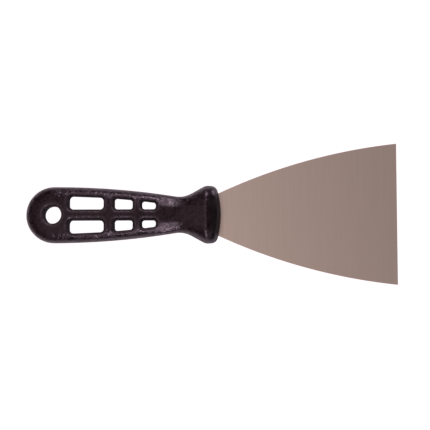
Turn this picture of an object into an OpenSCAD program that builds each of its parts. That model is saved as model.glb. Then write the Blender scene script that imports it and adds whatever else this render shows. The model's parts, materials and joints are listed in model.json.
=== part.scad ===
// Flexible putty knife: a spring steel blade moulded into a black plastic handle.
// +X runs from the butt of the handle to the working edge, +Z is up off the flat
// face, and the origin is under the middle of the tool, on the surface it lies on.

/* [Blade] */
// Width of the working edge
blade_w = 80; // [60:1:90]
// Length of blade that shows in front of the handle
blade_len = 99.6; // [90:0.1:120]
// Thickness of the steel
blade_t = 0.5; // [0.3:0.1:1.5]
// Width of the blade where it leaves the handle
blade_root_w = 24.6; // [20:0.1:25]
// Radius of the two long curved sides
blade_side_r = 320; // [250:10:600]
// Distances from the handle to the three lines about which the blade flexes
flex_ahead = [11, 38, 70];
// Slit between two stretches of blade on such a line
flex_gap = 0.15; // [0.1:0.05:0.4]

/* [Tang] */
// Width of the tang
tang_w = 11; // [8:0.5:12]
// Length of the tang behind its shoulders
tang_len = 31; // [24:1:32]
// Depth of the shoulders behind the front of the handle
shoulder_depth = 6; // [5:0.5:8]
// Radius of the fillets between tang and shoulders
tang_fillet_r = 2; // [1:0.5:3]
// Diameter of the two holes that the plastic flows through
tang_hole_d = 5; // [3:0.5:6]

/* [Handle] */
// Length of the handle
handle_len = 109.9; // [105:0.1:115]
// Radius of the round butt, seen from above
butt_r = 15.9; // [14:0.1:17]
// Radius of the long sides, which curve in towards the neck
side_r = 428; // [400:1:500]
// Thickness of the grip at its fullest
grip_t = 14.4; // [13:0.1:16]
// Place along the handle where the grip is fullest
grip_x = 42; // [30:1:55]
// Radius of the grip's crown along the handle
crown_r = 1000; // [900:10:2000]
// Roundness of the cross section: 2 is an ellipse, more is squarer
squareness = 2.6; // [2.2:0.1:3]

/* [Collar] */
// Width at the collar's ridge
ridge_w = 32.9; // [30:0.1:34]
// Thickness at the collar's ridge
ridge_t = 19; // [17:0.1:20]
// Distance from the ridge to the front of the handle
ridge_back = 8.6; // [8:0.1:9]
// Slope of the flare in width, in degrees
flare_angle = 29; // [26:1:32]
// Slope of the flare in thickness, in degrees
flare_rise = 14; // [12:1:16]
// Slope of the lip in width, in degrees
lip_angle = 3; // [2:1:6]
// Slope of the lip in thickness, in degrees
lip_drop = 18; // [12:1:20]
// Radius of the domed front, seen from above
front_r = 50; // [40:1:60]
// Radius of the domed front, seen from the side
front_side_r = 30; // [25:1:40]

/* [Windows] */
// Distance from the butt to the first window
window_start = 24.6; // [24:0.1:25]
// Lengths of the three pairs of windows
window_lengths = [19, 9.9, 7.6];
// Widths of the ribs between the pairs
cross_ribs = [6.5, 5.5];
// Width of the rib along the middle
centre_rib = 6.4; // [5:0.1:6.4]
// Width of the rails outside the windows
rail_w = 5.4; // [4:0.1:5.4]
// Radii of the three pairs' corners
window_radii = [2, 1.4, 1.4];

/* [Hang hole] */
// Diameter of the hole in the butt
hang_hole_d = 10; // [6:0.5:11]
// Distance from the butt to the middle of the hole
hang_hole_x = 15.3; // [14:0.1:16]

/* [Hidden] */
$fn = 64;

// Blade: each side is one arc through its root corner and its edge corner.
blade_facets = 720;
overall_len = handle_len + blade_len;
mouth_x = handle_len - 0.8;
flex_xs = [for (ahead = flex_ahead) handle_len + ahead];
root = [mouth_x, blade_root_w / 2];
corner = [overall_len, blade_w / 2];
half_chord = norm(corner - root) / 2;
chord_dir = (corner - root) / norm(corner - root);
side_centre = (root + corner) / 2
    + sqrt(pow(blade_side_r, 2) - pow(half_chord, 2)) * [chord_dir.y, -chord_dir.x];

// Tang: from its rounded end to the shoulders inside the collar.
shoulder_x = handle_len - shoulder_depth;
tang_end_x = shoulder_x - tang_len;
tang_hole_xs = [tang_end_x + tang_len * 0.25, tang_end_x + tang_len * 0.65];

// Handle: where its outline changes, and how softly one stretch runs into the next.
ridge_x = handle_len - ridge_back;
neck_blend = 3.4;
neck_blend_z = 0.6;
ridge_blend = 0.9;
ridge_blend_z = 0.35;
front_blend = 3;

// Handle: the rings that its surface is stretched over.
ring_points = 32;
butt_rings = 9;
grip_rings = 10;
flare_rings = 12;
ridge_rings = 8;
front_rings = 6;
front_step = 0.12;
neck_x = 85;
lip_x = handle_len - front_step * pow(front_rings, 2);
ridge_start = ridge_x - 1.5;

// The larger or the smaller of two values, with a soft change over the given width.
function softness(a, b, width) = pow(max(width - abs(a - b), 0), 2) / (4 * width);
function soft_max(a, b, width) = max(a, b) + softness(a, b, width);
function soft_min(a, b, width) = min(a, b) - softness(a, b, width);

// Height at x of an arc of the given radius, which peaks at peak_x at height peak.
function arc(x, peak_x, peak, radius) =
    peak - radius + sqrt(pow(radius, 2) - pow(x - peak_x, 2));

// Half the height at x of a dome that ends at the front of the handle.
function dome(x, radius) =
    let (peak_x = handle_len - radius)
        x < peak_x ? radius : arc(x, peak_x, radius, radius);

// Half the width of the handle at x.
function side(x) =
    x < butt_r ? sqrt(pow(butt_r, 2) - pow(butt_r - x, 2)) : arc(x, butt_r, butt_r, side_r);
function flare(x) = ridge_w / 2 + (x - ridge_x) * tan(flare_angle);
function lip(x) = ridge_w / 2 - (x - ridge_x) * tan(lip_angle);
function half_w(x) = soft_min(
    soft_min(soft_max(side(x), flare(x), neck_blend), lip(x), ridge_blend),
    dome(x, front_r),
    min(front_blend, 2 * dome(x, front_r))
);

// Half the thickness of the handle at x.
function butt_round(x) =
    x < butt_r ? pow(1 - pow((butt_r - x) / butt_r, squareness), 1 / squareness) : 1;
function crown(x) = arc(x, grip_x, grip_t / 2, crown_r) * butt_round(x);
function flare_z(x) = ridge_t / 2 + (x - ridge_x) * tan(flare_rise);
function lip_z(x) = ridge_t / 2 - (x - ridge_x) * tan(lip_drop);
function half_t(x) = soft_min(
    soft_min(soft_max(crown(x), flare_z(x), neck_blend_z), lip_z(x), ridge_blend_z),
    dome(x, front_side_r),
    min(front_blend, 2 * dome(x, front_side_r))
);

// One point of the superellipse with half axes a and b.
function power(value, exponent) = sign(value) * pow(abs(value), exponent);
function section(a, b, angle) = [
    a * power(cos(angle), 2 / squareness),
    b * power(sin(angle), 2 / squareness),
];

ring_xs = concat(
    [for (i = [1 : butt_rings]) butt_r * (1 - cos(90 * i / butt_rings))],
    [for (i = [1 : grip_rings]) butt_r + (neck_x - butt_r) * i / grip_rings],
    [for (i = [1 : flare_rings]) neck_x + (ridge_start - neck_x) * i / flare_rings],
    [for (i = [1 : ridge_rings]) ridge_start + (lip_x - ridge_start) * i / ridge_rings],
    [for (i = [1 : front_rings - 1]) handle_len - front_step * pow(front_rings - i, 2)]
);
base_z = max([for (x = ring_xs) half_t(x)]);

// Skin of the handle: rings of points from a tip at the butt to a tip at the front.
module handle_skin() {
    rings = len(ring_xs);
    last = rings * ring_points + 1;
    points = concat(
        [[0, 0, 0]],
        [
            for (x = ring_xs)
                for (j = [0 : ring_points - 1])
                    let (p = section(half_w(x), half_t(x), 360 * j / ring_points))
                        [x, p.x, p.y]
        ],
        [[handle_len, 0, 0]]
    );
    butt_fan = [for (j = [0 : ring_points - 1]) [0, 1 + (j + 1) % ring_points, 1 + j]];
    front_fan = [
        for (j = [0 : ring_points - 1])
            [last, last - ring_points + j, last - ring_points + (j + 1) % ring_points]
    ];
    bands = [
        for (i = [0 : rings - 2])
            for (j = [0 : ring_points - 1])
                let (
                    here = 1 + i * ring_points,
                    next = here + ring_points,
                    k = (j + 1) % ring_points
                )
                    each [[here + j, here + k, next + j], [here + k, next + k, next + j]]
    ];
    polyhedron(points, concat(butt_fan, bands, front_fan), convexity = 4);
}

// Outline of one window on the +Y side: its inner edge follows the centre rib and its
// outer edge follows the side of the handle.
module window_outline(x0, x1, r) {
    back_x = x0 + r;
    front_x = x1 - r;
    centres = [
        [back_x, centre_rib / 2 + r],
        [front_x, centre_rib / 2 + r],
        [front_x, half_w(front_x) - rail_w - r],
        [back_x, half_w(back_x) - rail_w - r],
    ];
    tangents = [
        for (i = [0 : 3])
            let (
                before = centres[i] - centres[(i + 3) % 4],
                after = centres[(i + 1) % 4] - centres[i]
            )
                each [
                    centres[i] + r * [before.y, -before.x] / norm(before),
                    centres[i] + r * [after.y, -after.x] / norm(after),
                ]
    ];
    polygon(tangents);
    for (centre = centres)
        translate(centre)
            circle(r, $fn = 32);
}

function window_x(i) =
    i == 0 ? window_start : window_x(i - 1) + window_lengths[i - 1] + cross_ribs[i - 1];

module windows() {
    for (i = [0 : len(window_lengths) - 1])
        for (turn = [0, 1])
            mirror([0, turn, 0])
                translate([0, 0, -grip_t])
                    linear_extrude(2 * grip_t)
                        window_outline(
                            window_x(i),
                            window_x(i) + window_lengths[i],
                            window_radii[i]
                        );
}

// Outline of the blade between two places along the tool.
module blade_outline(x0, x1) {
    intersection() {
        translate(side_centre)
            circle(blade_side_r, $fn = blade_facets);
        mirror([0, 1])
            translate(side_centre)
                circle(blade_side_r, $fn = blade_facets);
        translate([x0, -blade_w])
            square([x1 - x0, 2 * blade_w]);
    }
}

module tang_outline() {
    end_r = tang_w / 2;
    translate([tang_end_x + end_r, 0])
        circle(end_r);
    translate([tang_end_x + end_r, -end_r])
        square([shoulder_x - tang_end_x, tang_w]);
    difference() {
        translate([shoulder_x - tang_fillet_r, -end_r - tang_fillet_r])
            square([2 * tang_fillet_r, tang_w + 2 * tang_fillet_r]);
        for (turn = [-1, 1])
            translate([shoulder_x - tang_fillet_r, turn * (end_r + tang_fillet_r)])
                circle(tang_fillet_r);
    }
}

// Tang with its shoulders and the stretch of blade up to the first flexing line.
module tang_solid() {
    translate([0, 0, -blade_t / 2])
        difference() {
            linear_extrude(blade_t)
                union() {
                    tang_outline();
                    blade_outline(shoulder_x, flex_xs[0] - flex_gap / 2);
                }
            for (x = tang_hole_xs)
                translate([x, 0, -blade_t])
                    cylinder(h = 3 * blade_t, d = tang_hole_d);
        }
}

// Stretch of blade between two places along the tool.
module blade_stretch(x0, x1) {
    translate([0, 0, -blade_t / 2])
        linear_extrude(blade_t)
            blade_outline(x0, x1);
}

// Moves a piece from the middle of the butt's end to the tool's own frame.
module to_frame() {
    translate([-overall_len / 2, 0, base_z])
        children();
}

module handle() {
    color([0.13, 0.1, 0.12])
        to_frame()
            difference() {
                handle_skin();
                windows();
                translate([hang_hole_x, 0, -grip_t])
                    cylinder(h = 2 * grip_t, d = hang_hole_d);
                tang_solid();
            }
}

module blade_tang() {
    color([0.6, 0.54, 0.5])
        to_frame()
            tang_solid();
}

module blade_root() {
    color([0.61, 0.54, 0.5])
        to_frame()
            blade_stretch(flex_xs[0] + flex_gap / 2, flex_xs[1] - flex_gap / 2);
}

module blade_middle() {
    color([0.62, 0.54, 0.5])
        to_frame()
            blade_stretch(flex_xs[1] + flex_gap / 2, flex_xs[2] - flex_gap / 2);
}

module blade_tip() {
    color([0.63, 0.55, 0.51])
        to_frame()
            blade_stretch(flex_xs[2] + flex_gap / 2, overall_len);
}

handle();
blade_tang();
blade_root();
blade_middle();
blade_tip();
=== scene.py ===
"""The looks of the flexible putty knife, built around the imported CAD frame.

Shapes are worked out in millimetres from the butt of the handle, in the middle plane of the
tool: x along it, y across the blade and z out of its flat face. to_frame() moves them into the
frame, in metres.
"""

import json
import math

import bmesh
import bpy
import numpy as np
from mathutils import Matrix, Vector, noise


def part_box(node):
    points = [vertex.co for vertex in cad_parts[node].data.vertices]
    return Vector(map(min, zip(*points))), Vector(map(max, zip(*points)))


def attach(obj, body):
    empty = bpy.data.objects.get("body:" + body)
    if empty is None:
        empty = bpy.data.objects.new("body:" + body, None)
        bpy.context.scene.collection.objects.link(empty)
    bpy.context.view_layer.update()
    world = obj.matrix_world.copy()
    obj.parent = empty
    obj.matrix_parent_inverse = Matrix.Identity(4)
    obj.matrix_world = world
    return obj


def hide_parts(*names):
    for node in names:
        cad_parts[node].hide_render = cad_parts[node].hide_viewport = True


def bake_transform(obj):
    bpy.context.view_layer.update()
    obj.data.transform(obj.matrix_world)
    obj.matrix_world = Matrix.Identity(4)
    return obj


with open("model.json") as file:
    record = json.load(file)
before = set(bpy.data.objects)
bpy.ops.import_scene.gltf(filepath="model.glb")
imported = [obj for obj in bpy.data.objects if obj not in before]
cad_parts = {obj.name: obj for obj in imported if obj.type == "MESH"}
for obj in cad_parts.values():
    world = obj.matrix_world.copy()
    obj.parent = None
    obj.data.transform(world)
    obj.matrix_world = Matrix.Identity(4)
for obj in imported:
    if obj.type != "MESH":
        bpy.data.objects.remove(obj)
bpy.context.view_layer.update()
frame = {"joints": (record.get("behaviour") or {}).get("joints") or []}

MM = 0.001
handle_low, handle_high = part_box("handle")
tang_low, tang_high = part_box("blade_tang")
tip_low, tip_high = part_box("blade_tip")
butt = Vector((handle_low.x, 0, (tip_low.z + tip_high.z) / 2))


def to_frame(points):
    """Points in millimetres from the butt, in metres in the frame."""
    return np.asarray(points) * MM + np.array(butt)


# ---------------------------------------------------------------- sizes, in millimetres

# Plain numbers that the CAD has too are the same in its source.

# The grip: from above an arc along each side and a round butt, from the side another arc.
HANDLE_LEN = (handle_high.x - handle_low.x) / MM
BUTT_R = 15.9
SIDE_R = 428.0
GRIP_T = 14.4
GRIP_X = 42.0
CROWN_R = 1000.0
SQUARENESS = 2.6

# The collar: a flare that rises to a ridge, and a lip that falls from it to the domed front.
RIDGE_W = 32.9
RIDGE_T = 19.0
RIDGE_X = HANDLE_LEN - 8.6
FLARE_SLOPE = math.tan(math.radians(29))
FLARE_RISE = math.tan(math.radians(14))
LIP_SLOPE = math.tan(math.radians(3))
LIP_DROP = math.tan(math.radians(18))
FRONT_R = 50.0
FRONT_SIDE_R = 30.0

# How wide the soft changes between these are, from above and, with a Z, from the side.
NECK_BLEND = 3.4
NECK_BLEND_Z = 0.6
RIDGE_BLEND = 0.9
RIDGE_BLEND_Z = 0.35
FRONT_BLEND = 3.0

# The shallow sloping facets that take the shoulders off the neck.
FACET_ANGLE = math.radians(25)
FACET_X = 80.0
FACET_HALF_LEN = 11.0
FACET_DEPTH = 0.5
FACET_BLEND = 0.35

# The windows, in pairs from the butt towards the neck, and the hang hole.
WINDOW_START = 24.6
WINDOW_LENGTHS = (19.0, 9.9, 7.6)
WINDOW_RADII = (2.0, 1.4, 1.4)
CROSS_RIBS = (6.5, 5.5)
CENTRE_RIB = 6.4
RAIL_W = 5.4
WINDOW_DRAFT = math.tan(math.radians(6))
WINDOW_RIM = 1.7
HANG_HOLE_R = 5.0
HANG_HOLE_X = 15.3
HOLE_RIM = 1.8

# The moulding's mesh, its slight unevenness and its parting line.
HANDLE_CELL = 0.45
LUMP_DEPTH = 0.09
LUMP_SIZE = 4.0
GRAIN_SIZE = 1.5
GRAIN_SHARE = 0.3
PARTING_W = 0.16

# Its flanks are duller, where their normals rise by less than this.
FLANK_SLOPE = 0.55

# The walls of its openings get painted shade and are duller, by these shares, up to this far
# outside them.
RECESS_FADE = 0.9
WINDOW_SHADE = 1.0
HOLE_SHADE = 0.65

# Its lip is smoother, and painted a uniform, slightly darker shade, from this far ahead of the
# ridge.
LIP_START = 1.6

# The steel: its blade spreads from the handle's mouth in two arcs, and its tang is a strip with a
# round end.
EDGE_X = (tip_high.x - handle_low.x) / MM
BLADE_T = (tip_high.z - tip_low.z) / MM
BLADE_W = (tip_high.y - tip_low.y) / MM
BLADE_ROOT_W = 24.6
BLADE_SIDE_R = 320.0
MOUTH_X = HANDLE_LEN - 0.8
TANG_X = (tang_low.x - handle_low.x) / MM
TANG_W = 11.0
SHOULDER_X = HANDLE_LEN - 6.0
TANG_FILLET_R = 2.0
BEVEL = 0.06
SHEET_STEP = 0.9
SHEET_COLUMNS = 41


# ---------------------------------------------------------------- the handle's shape


def soft_max(a, b, width):
    """The larger value, with a soft change over the given width."""
    return np.maximum(a, b) + np.maximum(width - np.abs(a - b), 0) ** 2 / (4 * width)


def soft_min(a, b, width):
    """The smaller value, with a soft change over the given width."""
    return -soft_max(-a, -b, width)


def arc(x, peak_x, peak, radius):
    """Height at x of an arc of the given radius, which peaks at peak_x at height peak."""
    return peak - radius + np.sqrt(radius**2 - (x - peak_x) ** 2)


def half_width(x):
    """Half the width of the handle at x, without its round butt and domed front."""
    side = arc(np.maximum(x, BUTT_R), BUTT_R, BUTT_R, SIDE_R)
    flare = RIDGE_W / 2 + (x - RIDGE_X) * FLARE_SLOPE
    lip = RIDGE_W / 2 - (x - RIDGE_X) * LIP_SLOPE
    return soft_min(soft_max(side, flare, NECK_BLEND), lip, RIDGE_BLEND)


def half_thickness(x):
    """Half the thickness of the handle at x, without its round butt and domed front."""
    crown = arc(x, GRIP_X, GRIP_T / 2, CROWN_R)
    flare = RIDGE_T / 2 + (x - RIDGE_X) * FLARE_RISE
    lip = RIDGE_T / 2 - (x - RIDGE_X) * LIP_DROP
    return soft_min(soft_max(crown, flare, NECK_BLEND_Z), lip, RIDGE_BLEND_Z)


def sides_distance(x, y, z):
    """Roughly the distance outside the superellipse sections, negative inside: how far their
    level s is from 1, which it has on the surface, over how fast it changes there."""
    a, b = half_width(x), half_thickness(x)
    step = 0.05
    a_slope = (half_width(x + step) - a) / step
    b_slope = (half_thickness(x + step) - b) / step
    behind = np.minimum(x - BUTT_R, 0)
    out = np.hypot(y, behind)
    p, q = out / a, np.abs(z) / b
    n = SQUARENESS
    s = np.maximum((p**n + q**n) ** (1 / n), 1e-3)
    across = (p / s) ** (n - 1) / a
    up = (q / s) ** (n - 1) / b
    along = (p / s) ** (n - 1) * p * a_slope / a + (q / s) ** (n - 1) * q * b_slope / b
    return (s - 1) / np.sqrt(across**2 + up**2 + along**2)


def shoulder_facets(x, y, z):
    """Distance outside the facets on both sides of the neck, well below 0 away from them."""
    away = 2.0
    sine, cosine = math.sin(FACET_ANGLE), math.cos(FACET_ANGLE)
    power = SQUARENESS / (SQUARENESS - 1)
    reach = (half_width(x) * sine) ** power + (half_thickness(x) * cosine) ** power
    across = np.clip(1 - ((x - FACET_X) / FACET_HALF_LEN) ** 2, 0, 1)
    depth = np.where(across > 0, FACET_DEPTH * across**2, -away)
    return np.abs(y) * sine + np.abs(z) * cosine - reach ** (1 / power) + depth


def polygon_distance(x, y, corners):
    """Distance outside a polygon in the plane, negative inside."""
    nearest = np.full(np.broadcast(x, y).shape, np.inf)
    inside = np.ones_like(nearest, bool)
    for i, corner in enumerate(corners):
        edge = corners[(i + 1) % len(corners)] - corner
        dx, dy = x - corner[0], y - corner[1]
        t = np.clip((dx * edge[0] + dy * edge[1]) / (edge @ edge), 0, 1)
        nearest = np.minimum(nearest, np.hypot(dx - t * edge[0], dy - t * edge[1]))
        inside &= edge[0] * dy - edge[1] * dx > 0
    return np.where(inside, -nearest, nearest)


def window_spans():
    """Start and end of each pair of windows along the handle, and their corners' radius."""
    start = WINDOW_START
    for length, rib, radius in zip(WINDOW_LENGTHS, CROSS_RIBS + (0.0,), WINDOW_RADII):
        yield start, start + length, radius
        start += length + rib


def window_distance(x, y, x0, x1, radius):
    """Distance outside one pair of windows in the middle plane, negative in them."""
    back_x, front_x = x0 + radius, x1 - radius
    back_y, front_y = half_width(np.array((back_x, front_x))) - RAIL_W - radius
    inner = CENTRE_RIB / 2 + radius
    centres = np.array([(back_x, inner), (front_x, inner), (front_x, front_y), (back_x, back_y)])
    return polygon_distance(x, np.abs(y), centres) - radius


def windows_distance(x, y, z):
    """Distance outside the nearest window, negative in it."""
    pairs = [window_distance(x, y, *span) for span in window_spans()]
    return np.minimum.reduce(pairs) - WINDOW_DRAFT * np.abs(z)


def hole_distance(x, y):
    """Distance outside the hang hole, negative in it."""
    return np.hypot(x - HANG_HOLE_X, y) - HANG_HOLE_R


def handle_distance(x, y, z):
    """Distance outside the handle, negative inside."""
    sides = sides_distance(x, y, z)
    front = x - (HANDLE_LEN - y**2 / (2 * FRONT_R) - z**2 / (2 * FRONT_SIDE_R))
    sides = soft_max(sides, shoulder_facets(x, y, z), FACET_BLEND)
    solid = soft_max(sides, front, FRONT_BLEND)
    solid = soft_max(solid, -hole_distance(x, y), HOLE_RIM)
    return soft_max(solid, -windows_distance(x, y, z), WINDOW_RIM)


# ---------------------------------------------------------------- meshes


def surface_net(distance, low, high, step):
    """Vertices and quads of the surface where distance(x, y, z) is nought, from low to high.
    Each cell that the surface crosses has a vertex, midway between its edges' crossings, and each
    grid edge that it crosses has a quad between the four cells around it."""
    ticks = [np.arange(a, b + step, step) for a, b in zip(low, high)]
    x, y, z = np.meshgrid(*ticks, indexing="ij", sparse=True)
    field = distance(x, y, z)
    cells = tuple(n - 1 for n in field.shape)
    crossings = np.zeros(cells)
    total = np.zeros(cells + (3,))
    index = np.indices(cells, sparse=True)
    edges = []
    for axis in range(3):
        ahead = np.roll(np.arange(3), -axis)
        start = field[tuple(slice(0, -1) if k == axis else slice(None) for k in range(3))]
        end = field[tuple(slice(1, None) if k == axis else slice(None) for k in range(3))]
        crossed = (start < 0) != (end < 0)
        share = np.where(crossed, start / np.where(crossed, start - end, 1), 0)
        edges.append((ahead, start, crossed))
        for one in (0, 1):
            for two in (0, 1):
                offset = np.zeros(3, int)
                offset[ahead[1]], offset[ahead[2]] = one, two
                part = tuple(slice(o, o + n) for o, n in zip(offset, cells))
                here = crossed[part]
                crossings += here
                for k in range(3):
                    along = share[part] if k == axis else offset[k]
                    total[..., k] += here * (index[k] + along)
    active = crossings > 0
    number = np.cumsum(active).reshape(cells) - 1
    vertices = total[active] / crossings[active][:, None] * step + np.array(low)
    quads = []
    for ahead, start, crossed in edges:
        i = np.argwhere(crossed)
        ring = []
        for one, two in ((-1, -1), (0, -1), (0, 0), (-1, 0)):
            cell = i.copy()
            cell[:, ahead[1]] += one
            cell[:, ahead[2]] += two
            ring.append(number[tuple(cell.T)])
        ring = np.stack(ring, 1)
        outward = start[tuple(i.T)] < 0
        quads.append(np.where(outward[:, None], ring, ring[:, ::-1]))
    return vertices, np.concatenate(quads)


def settle(vertices, distance, rounds=4, reach=0.02, longest=0.3, flattest=0.1):
    """Moves the vertices onto the exact surface, and gives them with their outward normals.
    A round moves none much further than longest, and takes no squared slope as less than
    flattest."""
    for _ in range(rounds):
        value = distance(*vertices.T)
        slope = np.stack(
            [
                (distance(*(vertices + d).T) - distance(*(vertices - d).T)) / (2 * reach)
                for d in np.eye(3) * reach
            ],
            1,
        )
        squared = np.maximum((slope**2).sum(1), flattest)
        vertices = vertices - np.clip(value / squared, -longest, longest)[:, None] * slope
    return vertices, slope / np.linalg.norm(slope, axis=1)[:, None]


def from_frame(mesh):
    """A mesh's vertices in millimetres from the butt."""
    places = np.zeros(3 * len(mesh.vertices), np.float32)
    mesh.vertices.foreach_get("co", places)
    return (places.reshape(-1, 3) - np.array(butt)) / MM


def new_object(name, vertices, faces, material):
    """A smooth-shaded object from vertices in millimetres from the butt."""
    mesh = bpy.data.meshes.new(name)
    mesh.from_pydata(to_frame(vertices).tolist(), [], np.asarray(faces).tolist())
    mesh.validate()
    mesh.polygons.foreach_set("use_smooth", np.ones(len(mesh.polygons), bool))
    mesh.materials.append(material)
    piece = bpy.data.objects.new(name, mesh)
    bpy.context.scene.collection.objects.link(piece)
    return piece


def blade_half_width(x):
    """Half the width of the steel at x: the tang, its shoulders and the spreading blade."""
    root, corner = np.array((MOUTH_X, BLADE_ROOT_W / 2)), np.array((EDGE_X, BLADE_W / 2))
    chord = corner - root
    half = np.linalg.norm(chord) / 2
    normal = np.array((chord[1], -chord[0])) / (2 * half)
    centre = (root + corner) / 2 + math.sqrt(BLADE_SIDE_R**2 - half**2) * normal
    side = centre[1] + np.sqrt(BLADE_SIDE_R**2 - (x - centre[0]) ** 2)
    end_r = TANG_W / 2
    tip = np.clip(TANG_X + end_r - x, 0, end_r)
    fillet = np.clip(x - SHOULDER_X + TANG_FILLET_R, 0, TANG_FILLET_R)
    tang = np.sqrt(end_r**2 - tip**2) + TANG_FILLET_R - np.sqrt(TANG_FILLET_R**2 - fillet**2)
    return np.where(x < SHOULDER_X, tang, side)


def tang_rows():
    """Places along the tang for rows of points: round its tip, along it and round its fillets.
    The first is a little way round, so that it has some width, and the last is just short of the
    shoulders, where the outline jumps."""
    first_turn, short, spacing = 0.15, 0.01, 2.0
    end_r = TANG_W / 2
    tip = TANG_X + end_r * (1 - np.cos(np.linspace(first_turn, math.pi / 2, 8)))
    fillet_x = SHOULDER_X - TANG_FILLET_R
    strip = np.arange(TANG_X + end_r + spacing, fillet_x - spacing / 2, spacing)
    fillet = SHOULDER_X - TANG_FILLET_R * np.cos(np.linspace(0, math.pi / 2, 6)) - short
    return np.concatenate([tip, strip, fillet])


def sheet_piece(name, rows, material, bevel_start=False, bevel_end=False):
    """A stretch of the steel sheet with fine bevels along its edges, as rows of points across it.
    Its two ends stay square unless they are bevelled, so that stretches meet in one flat face."""
    across = np.linspace(-1, 1, SHEET_COLUMNS)
    half_t = BLADE_T / 2
    width = blade_half_width(rows)
    inset_x = np.zeros(len(rows))
    inset_x[0] = BEVEL * bevel_start
    inset_x[-1] = -BEVEL * bevel_end
    n, m = len(rows), len(across)

    def sheet(z, inset):
        y = across[None, :] * (width - inset)[:, None]
        x = np.broadcast_to((rows + inset_x * (inset > 0))[:, None], y.shape)
        return np.stack([x, y, np.full(y.shape, z)], -1).reshape(-1, 3)

    grid = np.arange(n * m).reshape(n, m)
    upper = np.stack([grid[:-1, :-1], grid[1:, :-1], grid[1:, 1:], grid[:-1, 1:]], -1)
    upper = upper.reshape(-1, 4)
    rim = np.concatenate([grid[:-1, 0], grid[-1, :-1], grid[:0:-1, -1], grid[0, :0:-1]])
    layers = [sheet(half_t, BEVEL), sheet(-half_t, BEVEL)]
    layers += [sheet(half_t - BEVEL, 0)[rim], sheet(BEVEL - half_t, 0)[rim]]
    vertices = np.concatenate(layers)
    high_rim, low_rim = rim, rim + n * m
    high_edge = 2 * n * m + np.arange(len(rim))
    low_edge = high_edge + len(rim)
    bands = [
        np.stack([low, np.roll(low, -1), np.roll(high, -1), high], 1)
        for low, high in ((low_rim, low_edge), (low_edge, high_edge), (high_edge, high_rim))
    ]
    faces = np.concatenate([upper, upper[:, ::-1] + n * m] + bands)
    piece = new_object(name, vertices, faces, material)
    piece.data.set_sharp_from_angle(angle=math.radians(30))
    uv = piece.data.uv_layers.new(name="flat")
    corners = np.zeros(len(piece.data.loops), int)
    piece.data.loops.foreach_get("vertex_index", corners)
    uv.data.foreach_set("uv", (vertices[corners, :2] * MM).astype(np.float32).ravel())
    return piece


def cut_level(piece, heights):
    """Cuts new edges all round a piece at the given heights above the middle plane."""
    cutter = bmesh.new()
    cutter.from_mesh(piece.data)
    for height in heights:
        bmesh.ops.bisect_plane(
            cutter,
            geom=cutter.verts[:] + cutter.edges[:] + cutter.faces[:],
            dist=1e-7,
            plane_co=to_frame((0, 0, height)),
            plane_no=(0, 0, 1),
        )
    cutter.to_mesh(piece.data)
    cutter.free()


def set_attribute(piece, name, values):
    """Gives each vertex of a piece a value from 0 to 1, for its material to read."""
    attribute = piece.data.attributes.new(name, "FLOAT", "POINT")
    attribute.data.foreach_set("value", np.clip(values, 0, 1).astype(np.float32))


def convexity(vertices, reach=0.4):
    """How tightly the handle's surface curves outwards at each vertex, in 1/mm."""
    around = sum(
        handle_distance(*(vertices + step).T) + handle_distance(*(vertices - step).T)
        for step in np.eye(3) * reach
    )
    return (around - 6 * handle_distance(*vertices.T)) / reach**2


def hollows(vertices):
    """Depth of the moulding's slight unevenness at each vertex."""
    points = [Vector(vertex) for vertex in vertices]
    level = [
        noise.noise(point / LUMP_SIZE) + GRAIN_SHARE * noise.noise(point / GRAIN_SIZE)
        for point in points
    ]
    return LUMP_DEPTH * (0.5 + 0.5 * np.clip(level, -1, 1))


def handle_piece(name, material):
    """The moulding: its exact skin with slight hollows, all but on the parting line around it."""
    margin = 1.0
    low = (-margin, -RIDGE_W / 2 - margin, -RIDGE_T / 2 - margin)
    high = (HANDLE_LEN + margin, RIDGE_W / 2 + margin, RIDGE_T / 2 + margin)
    vertices, quads = surface_net(handle_distance, low, high, HANDLE_CELL)
    vertices = settle(vertices, handle_distance)[0]
    piece = new_object(name, vertices, quads, material)
    cut_level(piece, (-PARTING_W, 0, PARTING_W))
    vertices, normals = settle(from_frame(piece.data), handle_distance)
    parting = np.abs(vertices[:, 2]) < PARTING_W / 2
    depth = np.where(parting, 0, hollows(vertices))
    moved = to_frame(vertices - depth[:, None] * normals)
    piece.data.vertices.foreach_set("co", moved.astype(np.float32).ravel())
    # Convex edges: their pale colour in the material is a painted highlight, with slight wear.
    set_attribute(piece, "edge_wear_and_highlight", convexity(vertices))
    set_attribute(piece, "flank", 1 - np.abs(normals[:, 2]) / FLANK_SLOPE)
    x, y, _ = vertices.T
    # Near the walls of the windows and the hole: painted shade in the material.
    in_windows = WINDOW_SHADE * (1 - windows_distance(*vertices.T) / RECESS_FADE)
    in_hole = HOLE_SHADE * (1 - hole_distance(x, y) / RECESS_FADE)
    set_attribute(piece, "recess_shade", np.maximum(in_windows, in_hole))
    # The lip: painted a uniform, slightly darker shade in the material, and smoother.
    set_attribute(piece, "lip", x - RIDGE_X - LIP_START)
    return piece


# ---------------------------------------------------------------- materials

# Nearly all of a noise texture lies between these.
NOISE_LOW = 0.38
NOISE_HIGH = 0.62

PLASTIC_DARK = (0.0058, 0.0024, 0.0034)
PLASTIC_PALE = (0.0195, 0.0098, 0.0122)
# A pale painted highlight on convex edges and the ridge, with slight wear.
PLASTIC_WEAR_AND_HIGHLIGHT = (0.13, 0.096, 0.115)
# Painted shade on the walls of the openings.
PLASTIC_PAINTED_SHADE = (0.003, 0.0012, 0.0022)
# A uniform, slightly darker painted shade on the lip.
PLASTIC_LIP_SHADE = (0.0085, 0.0062, 0.0068)
STEEL_DARK = (0.84, 0.695, 0.622)
STEEL_LIGHT = (0.90, 0.745, 0.667)


def node_material(name):
    """A new material, with its nodes and links."""
    material = bpy.data.materials.new(name)
    material.use_nodes = True
    return material, material.node_tree.nodes, material.node_tree.links


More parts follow.
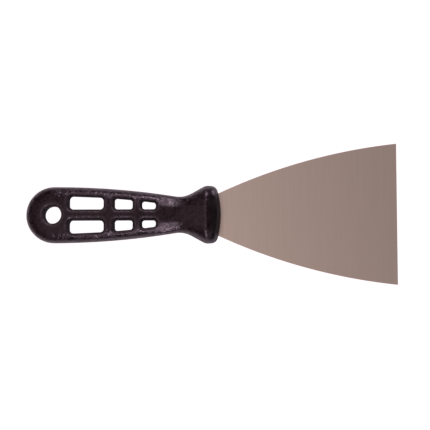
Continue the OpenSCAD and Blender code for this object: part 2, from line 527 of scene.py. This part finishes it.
def feed(links, value, socket):
    """Gives a socket the output of another, or a plain number."""
    if isinstance(value, bpy.types.NodeSocket):
        links.new(value, socket)
    else:
        socket.default_value = value


def vertex_value(nodes, name):
    """The output of an attribute that set_attribute() made."""
    node = nodes.new("ShaderNodeAttribute")
    node.attribute_name = name
    return node.outputs["Fac"]


def noise_texture(nodes, links, place, scale, detail):
    """The output of a noise whose lumps are about 1/scale across."""
    node = nodes.new("ShaderNodeTexNoise")
    node.inputs["Scale"].default_value = scale
    node.inputs["Detail"].default_value = detail
    links.new(place, node.inputs["Vector"])
    return node.outputs["Fac"]


def ramp(nodes, links, value, low, low_colour, high, high_colour):
    """The output of a colour ramp between two colours, which stand at low and high."""
    node = nodes.new("ShaderNodeValToRGB")
    node.color_ramp.elements[0].position = low
    node.color_ramp.elements[0].color = (*low_colour, 1)
    node.color_ramp.elements[1].position = high
    node.color_ramp.elements[1].color = (*high_colour, 1)
    links.new(value, node.inputs["Fac"])
    return node.outputs["Color"]


def map_range(nodes, links, value, from_min, from_max, to_min, to_max):
    """The output of a straight change from one range to another."""
    node = nodes.new("ShaderNodeMapRange")
    node.inputs["From Min"].default_value = from_min
    node.inputs["From Max"].default_value = from_max
    node.inputs["To Min"].default_value = to_min
    node.inputs["To Max"].default_value = to_max
    links.new(value, node.inputs["Value"])
    return node.outputs["Result"]


def maths(nodes, links, operation, first, second):
    """The output of a sum on an output and another output or a number."""
    node = nodes.new("ShaderNodeMath")
    node.operation = operation
    links.new(first, node.inputs[0])
    feed(links, second, node.inputs[1])
    return node.outputs["Value"]


def blend_colour(nodes, links, share, first, second):
    """The output of a mix from a colour output to a plain colour."""
    node = nodes.new("ShaderNodeMix")
    node.data_type = "RGBA"
    links.new(share, node.inputs["Factor"])
    links.new(first, node.inputs["A"])
    node.inputs["B"].default_value = (*second, 1)
    return node.outputs["Result"]


def bump(nodes, links, height, depth, strength):
    """A bump node that raises its surface by up to depth metres."""
    node = nodes.new("ShaderNodeBump")
    node.inputs["Distance"].default_value = depth
    links.new(height, node.inputs["Height"])
    feed(links, strength, node.inputs["Strength"])
    return node


def plastic_material():
    """Near-black moulded plastic, mottled and finely grained. Its convex edges carry a pale painted
    highlight with slight wear, the walls of its openings carry painted shade and are dull, its
    flanks are dull, and its lip is smooth and painted a uniform, slightly darker shade."""
    material, nodes, links = node_material("handle_plastic")
    shader = nodes["Principled BSDF"]
    shader.inputs["Specular IOR Level"].default_value = 0.45
    shader.inputs["Specular Tint"].default_value = (1.0, 0.78, 0.93, 1)

    place = nodes.new("ShaderNodeTexCoord").outputs["Object"]
    grain = noise_texture(nodes, links, place, scale=1500, detail=3)
    mottle = noise_texture(nodes, links, place, scale=600, detail=4)
    clouds = noise_texture(nodes, links, place, scale=260, detail=2)
    wear_and_highlight = maths(nodes, links, "MULTIPLY", vertex_value(nodes, "edge_wear_and_highlight"), mottle)
    recess_shade = vertex_value(nodes, "recess_shade")
    flank = vertex_value(nodes, "flank")
    lip = vertex_value(nodes, "lip")

    colour = ramp(nodes, links, mottle, NOISE_LOW, PLASTIC_DARK, NOISE_HIGH, PLASTIC_PALE)
    # Convex edges are painted pale: a painted highlight, with slight wear.
    colour = blend_colour(nodes, links, wear_and_highlight, colour, PLASTIC_WEAR_AND_HIGHLIGHT)
    # The walls of the openings are painted dark: painted shade.
    colour = blend_colour(nodes, links, recess_shade, colour, PLASTIC_PAINTED_SHADE)
    # The lip is painted a uniform, slightly darker shade: painted shade.
    colour = blend_colour(nodes, links, lip, colour, PLASTIC_LIP_SHADE)
    links.new(colour, shader.inputs["Base Color"])

    roughness = map_range(nodes, links, clouds, NOISE_LOW, NOISE_HIGH, 0.19, 0.36)
    for part, extra in ((recess_shade, 0.45), (flank, 0.6)):
        dull = maths(nodes, links, "MULTIPLY", part, extra)
        roughness = maths(nodes, links, "ADD", roughness, dull)
    links.new(roughness, shader.inputs["Roughness"])

    fine = bump(nodes, links, grain, depth=0.00004, strength=0.3)
    relief = map_range(nodes, links, lip, 0, 1, 1, 0.15)
    coarse = bump(nodes, links, mottle, depth=0.00031, strength=relief)
    links.new(fine.outputs["Normal"], coarse.inputs["Normal"])
    links.new(coarse.outputs["Normal"], shader.inputs["Normal"])
    return material


def steel_material():
    """Satin steel, ground across the blade: fine low lines in its colour, gloss and height."""
    material, nodes, links = node_material("blade_steel")
    shader = nodes["Principled BSDF"]
    shader.inputs["Metallic"].default_value = 1.0

    place = nodes.new("ShaderNodeUVMap")
    place.uv_map = "flat"
    lines = []
    for along, across in ((2600, 40), (700, 12)):
        stretch = nodes.new("ShaderNodeMapping")
        stretch.inputs["Scale"].default_value = (along, across, 1)
        links.new(place.outputs["UV"], stretch.inputs["Vector"])
        lines.append(noise_texture(nodes, links, stretch.outputs["Vector"], scale=1, detail=4))
    fine_lines, wide_lines = lines
    both = maths(nodes, links, "ADD", fine_lines, wide_lines)
    shine = map_range(nodes, links, both, 0.6, 1.4, 0, 1)

    colour = ramp(nodes, links, shine, 0.0, STEEL_DARK, 1.0, STEEL_LIGHT)
    links.new(colour, shader.inputs["Base Color"])
    roughness = map_range(nodes, links, shine, 0, 1, 0.46, 0.40)
    links.new(roughness, shader.inputs["Roughness"])
    ground = bump(nodes, links, fine_lines, depth=0.00001, strength=0.3)
    links.new(ground.outputs["Normal"], shader.inputs["Normal"])
    return material


def floor_material():
    """Pale paper that gives off light of its own, so that it stays white under any shadow."""
    material, nodes, _ = node_material("floor_paper")
    shader = nodes["Principled BSDF"]
    shader.inputs["Base Color"].default_value = (0.06, 0.06, 0.06, 1)
    shader.inputs["Roughness"].default_value = 0.9
    shader.inputs["Emission Color"].default_value = (1, 0.93, 0.97, 1)
    shader.inputs["Emission Strength"].default_value = 1.09
    return material


# ---------------------------------------------------------------- the object

handle = handle_piece("handle_moulding", plastic_material())
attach(handle, "handle")
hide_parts("handle")

# The steel is one sheet in three stretches, which meet midway between the lines it flexes about.
flex_xs = [(joint["pos_m"][0] - butt.x) / MM for joint in frame["joints"]]
middles = [(a + b) / 2 for a, b in zip(flex_xs, flex_xs[1:])]
starts = [SHOULDER_X] + middles
ends = middles + [EDGE_X]
names = ("blade_heel_sheet", "blade_middle_sheet", "blade_edge_sheet")
stands_for = (("blade_tang",), ("blade_root",), ("blade_middle", "blade_tip"))
steel = steel_material()
sheets = []
for i, joint in enumerate(frame["joints"]):
    rows = np.linspace(starts[i], ends[i], 1 + round((ends[i] - starts[i]) / SHEET_STEP))
    if i == 0:
        rows = np.concatenate([tang_rows(), rows])
    sheet = sheet_piece(names[i], rows, steel, bevel_start=i == 0, bevel_end=ends[i] == EDGE_X)
    # How far either side of its line it would bend, as far behind as ahead of it and clear of the
    # handle; the two points that far either side are worked out but not used.
    reach = min(flex_xs[i] - max(starts[i], HANDLE_LEN), ends[i] - flex_xs[i])
    to_frame((flex_xs[i] - reach, 0, 0))
    to_frame((flex_xs[i] + reach, 0, 0))
    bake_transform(sheet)
    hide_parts(*stands_for[i])
    sheets.append(sheet)

# ---------------------------------------------------------------- floor, light and camera

COOL = (1, 0.93, 0.98)
WARM = (1, 0.87, 0.82)
PALE = (1, 0.91, 0.89)


def floor(half=3.0):
    """A square of floor under the object."""
    mesh = bpy.data.meshes.new("floor")
    corners = [(-half, -half, 0), (half, -half, 0), (half, half, 0), (-half, half, 0)]
    mesh.from_pydata(corners, [], [(0, 1, 2, 3)])
    mesh.materials.append(floor_material())
    plane = bpy.data.objects.new("floor", mesh)
    bpy.context.scene.collection.objects.link(plane)


def studio(colour, zenith, horizon, band):
    """A dim room with a paler band just above the horizon."""
    world = bpy.data.worlds.new("studio")
    bpy.context.scene.world = world
    world.use_nodes = True
    nodes, links = world.node_tree.nodes, world.node_tree.links
    background = nodes["Background"]
    background.inputs["Color"].default_value = (*colour, 1)
    direction = nodes.new("ShaderNodeTexCoord")
    parts = nodes.new("ShaderNodeSeparateXYZ")
    links.new(direction.outputs["Generated"], parts.inputs["Vector"])
    strength = map_range(nodes, links, parts.outputs["Z"], 0, band, horizon, zenith)
    links.new(strength, background.inputs["Strength"])


def area_light(name, place, size, power, colour):
    """A rectangular light that shines towards the origin."""
    data = bpy.data.lights.new(name, "AREA")
    data.shape = "RECTANGLE"
    data.size, data.size_y = size
    data.energy = power
    data.color = colour
    light = bpy.data.objects.new(name, data)
    light.location = place
    light.rotation_euler = (-Vector(place)).to_track_quat("-Z", "Y").to_euler()
    bpy.context.scene.collection.objects.link(light)
    return light


def keep_for(lights, name, pieces):
    """Makes the lights shine on these pieces alone."""
    lit = bpy.data.collections.new(name)
    for piece in pieces:
        lit.objects.link(piece)
    for light in lights:
        light.light_linking.receiver_collection = lit


def camera(centre, back, view_width, roll):
    """A camera that stands back from the centre it looks at, and sees view_width across there."""
    data = bpy.data.cameras.new("camera")
    data.sensor_width = 36
    data.lens = data.sensor_width * back.length / view_width
    cam = bpy.data.objects.new("camera", data)
    cam.location = centre + back
    cam.rotation_euler = (-back).to_track_quat("-Z", "Y").to_euler()
    cam.rotation_euler.rotate_axis("Z", roll)
    bpy.context.scene.collection.objects.link(cam)
    bpy.context.scene.camera = cam


floor()
studio(COOL, zenith=0.05, horizon=0.8, band=0.2)
small_softboxes = (
    area_light("front_softbox", (0.1, -0.78, 0.82), (0.28, 0.2), 3.75, COOL),
    area_light("back_softbox", (0.1, 0.97, 0.78), (0.26, 0.24), 4.2, COOL),
    area_light("back_right_softbox", (0.7, 0.8, 0.3), (0.3, 0.2), 3, COOL),
)
area_light("overhead_softbox", (-0.38, -0.08, 1.0), (1.2, 0.9), 1.74, WARM)
ceiling = area_light("ceiling", (0, 0, 0.9), (3.2, 3.2), 5.9, PALE)

# The small softboxes would glare white in the steel, so it has a dim broad ceiling instead.
keep_for(small_softboxes, "lit_by_softboxes", [handle])
keep_for([ceiling], "lit_by_ceiling", sheets)

# Nearly straight down, from a little in front.
camera(
    centre=Vector((0.00185, -0.0002, butt.z)),
    back=Vector((0, -0.042, 0.65)),
    view_width=0.2431,
    roll=math.radians(-0.2),
)
bpy.context.scene.view_settings.view_transform = "Standard"
